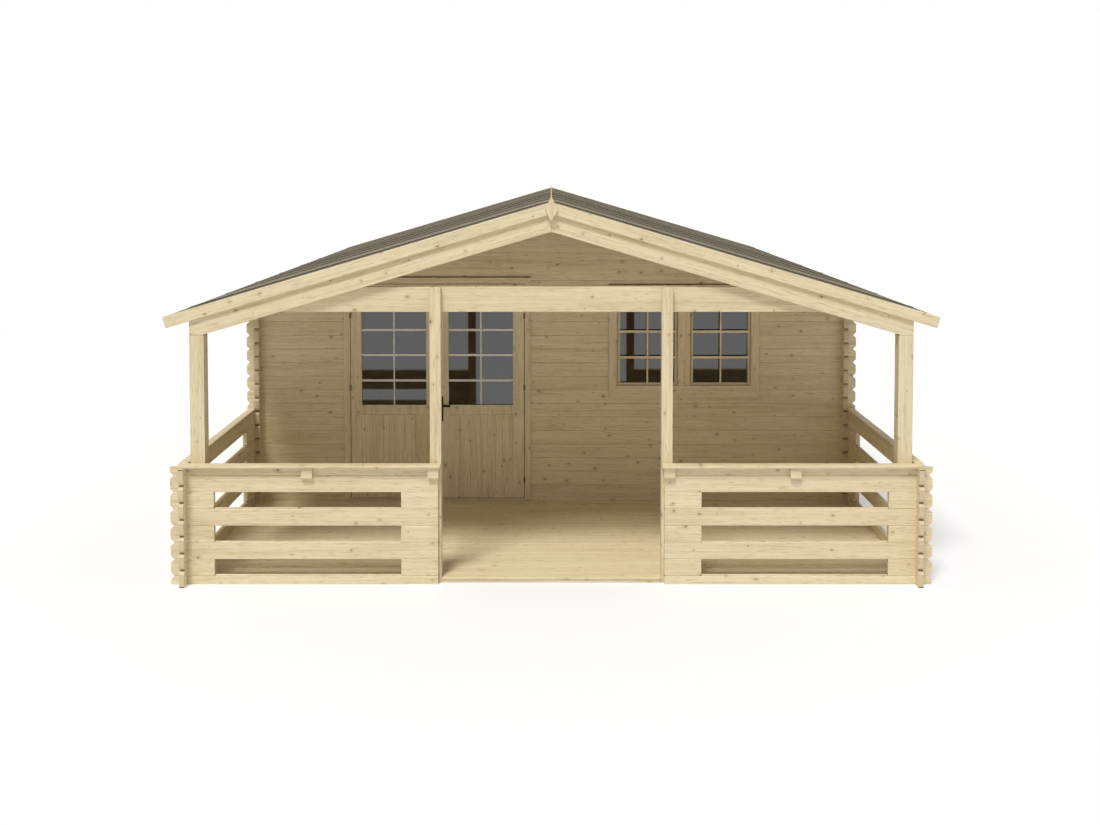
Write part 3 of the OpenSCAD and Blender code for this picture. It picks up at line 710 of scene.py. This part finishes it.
# The riser, the first face of each section, is darkened by its factor as painted shade.
tone.reshape(strips, per_strip)[:, :per_strip - 2:sides] *= RISER_SHADE[:, None]
toned = felt_strips.data.attributes.new("strip_tone_and_painted_light", "FLOAT", "FACE")
toned.data.foreach_set("value", tone)
finish_piece(felt_strips, HOUSE, "roofing_felt", "roof_felt_left", "roof_felt_right")
print("felt:", len(faces), "faces, tones from", STRIP_TONES_AND_HIGHLIGHT.min(), "to", STRIP_TONES_AND_HIGHLIGHT.max())

# %% [markdown]
# Glazing bars
#
# Each pane is crossed by thin bars: one upright in the middle, and three level ones in the door or two in
# the window. In the door they go right through the glass. The window has a grille in front of panes that
# sit at the back of the sashes, so that the glass mirrors the back of each bar as a dark line, and a
# moulding round each pane. Lines on the glass would be simpler, but they would cast no shadow and have no
# mirror image.

# %% Bars in the doors
DOORS = (("left", LEFT), ("right", RIGHT))
DOOR_BARS, DOOR_BAR_HALF = (0.019, 0.012), 0.012
DOOR_LEVELS = (0.2455, 0.501, 0.753)
BAR_STEP = 0.001


def glazing_bars(name, low, high, levels, widths, overlap, material, body):
    """Level bars at shares of a pane's height, and one upright in the middle that is a step thinner."""
    z = low[2] + np.array(levels) * (high[2] - low[2])
    middle = (low[0] + high[0]) / 2
    level, upright = np.array(widths) / 2
    lows = [[low[0] - overlap, low[1], v - level] for v in z]
    lows += [[middle - upright, low[1] + BAR_STEP, low[2] - overlap]]
    highs = [[high[0] + overlap, high[1], v + level] for v in z]
    highs += [[middle + upright, high[1] - BAR_STEP, high[2] + overlap]]
    return finish_piece(eased_boards(name, lows, highs, 0.003, material), body, "joinery")


for side, body in DOORS:
    low, high = (np.array(corner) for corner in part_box(f"{side}_door_glass"))
    middle = (low[1] + high[1]) / 2
    low[1], high[1] = middle - DOOR_BAR_HALF, middle + DOOR_BAR_HALF
    glazing_bars(f"{side}_door_bars", low, high, DOOR_LEVELS, DOOR_BARS, 0.0, white_bars, body)
print("door bars:", DOOR_BARS, "wide")

# %% Bars, mouldings and panes of the window
WINDOW_BARS, WINDOW_BAR_DEEP, WINDOW_OVERLAP = (0.022, 0.016), 0.010, 0.013
WINDOW_LEVELS = (0.330, 0.663)
PANE_W, MOULD, PROUD, GRILLE_BACK = 0.482, 0.018, 0.014, 0.002
PANE_DEPTHS = np.array([0.007, 0.002])
low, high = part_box("window_glass")
sash_low, sash_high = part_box("window_sashes")
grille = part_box("window_casing")[0][1] + GRILLE_BACK
z0, z1 = low[2], high[2]
y0, y1 = sash_low[1] - PROUD, sash_low[1]
for side, x0 in (("left", low[0]), ("right", high[0] - PANE_W)):
    x1 = x0 + PANE_W
    bar_low, bar_high = [x0, grille, z0], [x1, grille + WINDOW_BAR_DEEP, z1]
    glazing_bars(f"window_bars_{side}", bar_low, bar_high, WINDOW_LEVELS, WINDOW_BARS, WINDOW_OVERLAP,
                 bar_timber, HOUSE)
    lows = [[x0 - MOULD, y0, z0 - MOULD], [x1, y0, z0 - MOULD], [x0, y0, z0 - MOULD], [x0, y0, z1]]
    highs = [[x0, y1, z1 + MOULD], [x1 + MOULD, y1, z1 + MOULD], [x1, y1, z0], [x1, y1, z1 + MOULD]]
    finish_piece(eased_boards(f"window_mould_{side}", lows, highs, 0.004, upright_timber), HOUSE, "joinery")
pane_y = sash_high[1] - PANE_DEPTHS
lows = [[low[0], pane_y[0], z0], [high[0] - PANE_W, pane_y[0], z0]]
highs = [[low[0] + PANE_W, pane_y[1], z1], [high[0], pane_y[1], z1]]
finish_piece(eased_boards("window_panes", lows, highs, 0.0005, pane), HOUSE, "pane", "window_glass")
print("window bars:", WINDOW_BARS, "wide, mouldings", MOULD)

# %% [markdown]
# Door panels
#
# Below the glass each leaf is closed with upright tongued boards. A bump could draw the joints, but an open
# door shows its panel at a slant, where a bump goes flat. So real boards fill the recess of the leaf on
# both sides, and their eased edges draw the joints.

# %% Board panels
STILE, MID_RAIL, RECESS = 0.096, 0.085, 0.006
PANEL_BOARDS, PANEL_SEAM, PANEL_GAP = 6, 0.0004, 0.001
for side, body in DOORS:
    leaf_low, leaf_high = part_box(f"{side}_door_leaf")
    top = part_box(f"{side}_door_glass")[0][2] - MID_RAIL - PANEL_GAP
    joints = np.linspace(leaf_low[0] + STILE, leaf_high[0] - STILE, PANEL_BOARDS + 1)
    near = leaf_low[1] + PANEL_GAP, leaf_high[1] - RECESS
    far = leaf_low[1] + RECESS, leaf_high[1] - PANEL_GAP
    lows = np.column_stack([np.tile(joints[:-1] + PANEL_SEAM, 2), np.repeat(near, PANEL_BOARDS),
                            np.full(2 * PANEL_BOARDS, leaf_low[2])])
    highs = np.column_stack([np.tile(joints[1:] - PANEL_SEAM, 2), np.repeat(far, PANEL_BOARDS),
                             np.full(2 * PANEL_BOARDS, top)])
    finish_piece(eased_boards(f"{side}_door_boards", lows, highs, 0.0012, upright_boards), body, "joinery")
print("door panels:", PANEL_BOARDS, "boards on each side of a leaf")

# %% [markdown]
# Casings
#
# The boards round the door and the window are mitred at the corners. The solid casing is one ring, on which
# the grain would run the same way all round. So each board is made by itself, as a prism between its inner
# and outer edge with its own direction of grain, and a Bevel eases it.

# %% Mitred casings
CASING, CASING_EASE = 0.054, 0.003
SIDE, FOOT, HEAD, MULLION_HALF = 0.074, 0.111, 0.154, 0.055


def mitred(name, outline, y0, y1, material, replaced=()):
    """A prism: an outline of four corners in X and Z at two depths, with a side from corner to corner."""
    outline = np.array(outline)
    points = np.concatenate([np.insert(outline, 1, y0, axis=1), np.insert(outline, 1, y1, axis=1)])
    faces = [[0, 1, 2, 3], [7, 6, 5, 4]] + [[i, i + 4, (i + 1) % 4 + 4, (i + 1) % 4] for i in range(4)]
    board = new_object(name, points, faces, material)
    turn_outwards(board)
    ease_edges(board, CASING_EASE)
    return finish_piece(board, HOUSE, "joinery", *replaced)


def casing(name, node, side, foot, head):
    """Boards from the box of a casing in to its inner edge, a margin away. A foot of 0 has no board."""
    (x0, y0, z0), (x1, y1, z1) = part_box(node)
    u0, u1, w0, w1 = x0 + side, x1 - side, z0 + foot, z1 - head
    mitred(f"{name}_left", [[x0, z0], [u0, w0], [u0, w1], [x0, z1]], y0, y1, upright_timber, (node,))
    mitred(f"{name}_right", [[u1, w0], [x1, z0], [x1, z1], [u1, w1]], y0, y1, upright_timber)
    mitred(f"{name}_head", [[u0, w1], [u1, w1], [x1, z1], [x0, z1]], y0, y1, level_timber)
    if foot:
        mitred(f"{name}_foot", [[x0, z0], [x1, z0], [u1, w0], [u0, w0]], y0, y1, level_timber)


casing("door_casing_board", "door_casing", CASING, 0.0, CASING)
casing("window_casing_board", "window_casing", SIDE, FOOT, HEAD)
(x0, y0, z0), (x1, y1, z1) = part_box("window_casing")
left, right = (x0 + x1) / 2 - MULLION_HALF, (x0 + x1) / 2 + MULLION_HALF
bottom, top = z0 + FOOT, z1 - HEAD
outline = [[left, bottom], [right, bottom], [right, top], [left, top]]
mitred("window_mullion_board", outline, y0, y1, upright_timber)
print("casings: 3 boards at the door, 5 at the window")

# %% [markdown]
# Floor and light
#
# A catalogue picture shows a house on white, with a soft shadow. A plain white floor would turn grey away
# from the sun, so the floor mixes its shaded self with pure white where the camera or a reflection sees it:
# a little near the house, and fully further off, so that no horizon shows. A sun from the upper left front
# gives the short shadows under the caps and rafters, and an even sky fills the veranda.

# %% Studio floor
FLOOR_HALF, FLOOR_Z, FLOOR_PALE = 60.0, -0.001, 0.87
WHITE_SHARE, FADE_FROM, FADE_TO = 0.3, 6.0, 14.0
WHITE = rgba(1, 1, 1)


def seen_directly(tree):
    """1 on rays from the camera, in reflections and through glass, and 0 on rays that only carry light."""
    path = add(tree, "ShaderNodeLightPath").outputs
    seen = calc(tree, "MAXIMUM", path["Is Camera Ray"], path["Is Glossy Ray"])
    return calc(tree, "MAXIMUM", seen, path["Is Transmission Ray"])


def make_floor():
    """A surface that takes shadows, mixed with white by a share that rises with distance from the middle."""
    material, tree, shader = plain_material("studio_floor", rgba(FLOOR_PALE, FLOOR_PALE, FLOOR_PALE), 0.9)
    place = add(tree, "ShaderNodeTexCoord").outputs["Object"]
    away = add(tree, "ShaderNodeVectorMath", {0: place}, operation="LENGTH").outputs["Value"]
    share = times(tree, seen_directly(tree), ramp(tree, away, FADE_FROM, FADE_TO, WHITE_SHARE, 1.0))
    white = add(tree, "ShaderNodeEmission", {"Color": WHITE, "Strength": 1.0}).outputs[0]
    mix = add(tree, "ShaderNodeMixShader", {0: share, 1: shader.outputs[0], 2: white})
    tree.links.new(mix.outputs[0], tree.nodes["Material Output"].inputs["Surface"])
    return material


square = np.array([[-1, -1], [1, -1], [1, 1], [-1, 1]]) * FLOOR_HALF
floor_points = np.column_stack([square, np.full(4, FLOOR_Z)])
floor = new_object("studio_floor", floor_points, [[0, 1, 2, 3]], make_floor())
print("floor:", 2 * FLOOR_HALF, "m wide, white from", FADE_TO, "m")

# %% Sky and sun
HORIZON, ZENITH = 0.25, 0.62
SUN_WAY = np.array([0.4, 1.0, -1.85])
world = bpy.data.worlds.new("studio_sky")
world.use_nodes = True
bpy.context.scene.world = world
sky = world.node_tree
way = add(sky, "ShaderNodeSeparateXYZ", {0: add(sky, "ShaderNodeTexCoord").outputs["Generated"]}).outputs[2]
strength = ramp(sky, way, 0.0, 1.0, HORIZON, ZENITH, "LINEAR")
sky_light = add(sky, "ShaderNodeBackground", {"Color": WHITE, "Strength": strength}).outputs[0]
sky_white = add(sky, "ShaderNodeBackground", {"Color": WHITE, "Strength": 1.0}).outputs[0]
both = add(sky, "ShaderNodeMixShader", {0: seen_directly(sky), 1: sky_light, 2: sky_white}).outputs[0]
sky.links.new(both, sky.nodes["World Output"].inputs["Surface"])

sun_data = bpy.data.lights.new("sun", "SUN")
sun_data.energy = 2.45
sun_data.angle = 0.27
sun = bpy.data.objects.new("sun", sun_data)
bpy.context.scene.collection.objects.link(sun)
yaw = np.arctan2(SUN_WAY[1], SUN_WAY[0]) - np.pi / 2
tilt = np.arctan2(np.hypot(SUN_WAY[0], SUN_WAY[1]), -SUN_WAY[2])
sun.rotation_euler = (tilt, 0.0, yaw)
print("light: sky from", HORIZON, "to", ZENITH, "and a sun of", round(sun_data.energy, 2))

# %% [markdown]
# Camera
#
# In the picture the posts stay upright although the house sits low in the frame. Tilting the camera would
# make the posts lean. So the camera is almost level and its frame is shifted, as a view camera's is.

# %% Camera
PITCH = np.radians(2.5)
CAMERA_AWAY, CAMERA_HEIGHT = 8.701, 2.954
camera_data = bpy.data.cameras.new("camera")
camera_data.sensor_width = 36.0
camera_data.lens = 40.31
camera_data.shift_x = -0.0012
camera_data.shift_y = -0.1703
camera_data.clip_end = 300.0
camera = bpy.data.objects.new("camera", camera_data)
camera.location = (0.0, RAIL_FACE - CAMERA_AWAY, CAMERA_HEIGHT)
camera.rotation_euler = (np.pi / 2 - PITCH, 0.0, 0.0)
bpy.context.scene.collection.objects.link(camera)
bpy.context.scene.camera = camera
bpy.context.scene.view_settings.view_transform = "Standard"
print("camera:", CAMERA_AWAY, "m before the rails,", CAMERA_HEIGHT, "m up")
